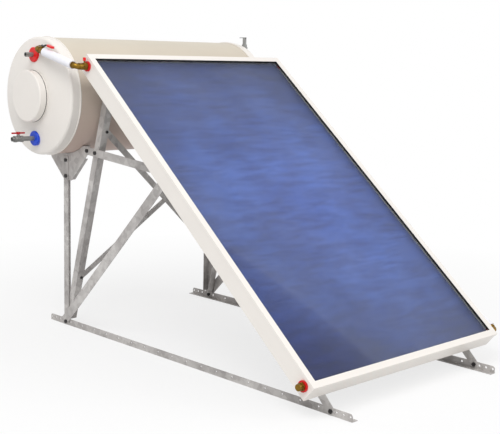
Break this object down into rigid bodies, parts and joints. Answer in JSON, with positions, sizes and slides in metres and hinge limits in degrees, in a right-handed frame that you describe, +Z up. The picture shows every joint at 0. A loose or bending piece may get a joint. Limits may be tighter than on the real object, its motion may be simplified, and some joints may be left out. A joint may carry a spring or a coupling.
{
  "type": "solar water heater",
  "caption": "Close-coupled solar water heater: glazed flat collector on a galvanised stand with a horizontal storage tank behind its upper edge.",
  "frame": {"origin": "on the ground, midway between the four roof anchor holes in the base rails", "axes": "+X along the tank towards the relief valve, +Y from the collector's low edge towards the tank, +Z up"},
  "size_m": [1.4999, 2.2123, 1.4795],
  "materials": {
    "casing_white": "satin",
    "tank_cream": "satin",
    "galvanised_steel": "matte",
    "absorber_blue": "satin",
    "solar_glass": "gloss",
    "black_rubber": "matte",
    "red_rubber": "satin",
    "red_plastic": "gloss",
    "blue_plastic": "gloss",
    "red_lever": "gloss",
    "black_lever": "satin",
    "brass": "satin",
    "copper": "satin",
    "plated_steel": "satin",
    "foam": "matte",
    "mineral_wool": "matte",
    "white_lagging": "matte",
    "enamelled_steel": "gloss",
    "back_sheet": "satin",
    "dark_fasteners": "satin",
    "magnesium": "matte",
    "moulded_black": "matte"
  },
  "bodies": {
    "root": {"absorber_plate": "absorber_blue", "anode_rod": "magnesium", "back_panel": "back_sheet", "base_rail_left": "galvanised_steel", "base_rail_right": "galvanised_steel", "casing_bottom": "casing_white", "casing_left": "casing_white", "casing_right": "casing_white", "casing_top": "casing_white", "cold_escutcheon": "blue_plastic", "cold_inlet_tail": "plated_steel", "cold_valve_body": "plated_steel", "collector_supports": "galvanised_steel", "cross_braces": "galvanised_steel", "diagonal_strut_left": "galvanised_steel", "diagonal_strut_right": "galvanised_steel", "element_cover": "casing_white", "element_flange": "plated_steel", "end_cap_left": "casing_white", "end_cap_right": "casing_white", "exchanger_jacket": "enamelled_steel", "flow_lagging": "white_lagging", "flow_valve_body": "brass", "foam_insulation": "foam", "foot_brackets": "galvanised_steel", "frame_bolts": "dark_fasteners", "frame_nuts": "dark_fasteners", "front_cross_bar": "galvanised_steel", "glass_pane": "solar_glass", "glass_seal": "black_rubber", "glazing_frame": "casing_white", "header_plugs": "brass", "header_tubes": "copper", "heating_element": "plated_steel", "hot_escutcheon": "red_plastic", "inner_vessel": "enamelled_steel", "insulation_slab": "mineral_wool", "leaning_leg_left": "galvanised_steel", "leaning_leg_right": "galvanised_steel", "loop_pipes": "copper", "pipe_fittings": "brass", "port_grommets": "red_rubber", "rear_legs": "galvanised_steel", "relief_valve_body": "plated_steel", "return_lagging": "white_lagging", "riser_tubes": "copper", "tank_jacket": "tank_cream", "tank_nipples": "plated_steel", "tank_saddle_left": "galvanised_steel", "tank_saddle_right": "galvanised_steel", "thermostat": "moulded_black", "top_chords": "galvanised_steel"},
    "cold_valve": {"cold_valve_ball": "plated_steel", "cold_valve_handle": "red_lever"},
    "flow_valve": {"flow_valve_ball": "plated_steel", "flow_valve_lever": "black_lever", "flow_lever_grip": "red_plastic"},
    "relief_lever": {"relief_valve_lever": "black_lever"},
    "vent_knob": {"air_vent_knob": "red_plastic"}
  },
  "joints": [
    {"name": "cold_valve_turn", "type": "hinge", "parent": "root", "child": "cold_valve", "pos_m": [-0.754, 0.89889, 0.95804], "axis": [0, 0, 1], "range_deg": [0, 90]},
    {"name": "flow_valve_turn", "type": "hinge", "parent": "root", "child": "flow_valve", "pos_m": [-0.69, 0.7887, 1.38046], "axis": [0, -0.2333, 0.9724], "range_deg": [-90, 0]},
    {"name": "relief_lever_lift", "type": "hinge", "parent": "root", "child": "relief_lever", "pos_m": [0.679, 0.83489, 1.47504], "axis": [1, 0, 0], "range_deg": [0, 40], "stiffness_Nm_per_rad": 0.05},
    {"name": "vent_knob_turn", "type": "hinge", "parent": "root", "child": "vent_knob", "pos_m": [-0.641, 0.51304, 1.31434], "axis": [0, 0, 1], "range_deg": [0, 270]}
  ]
}
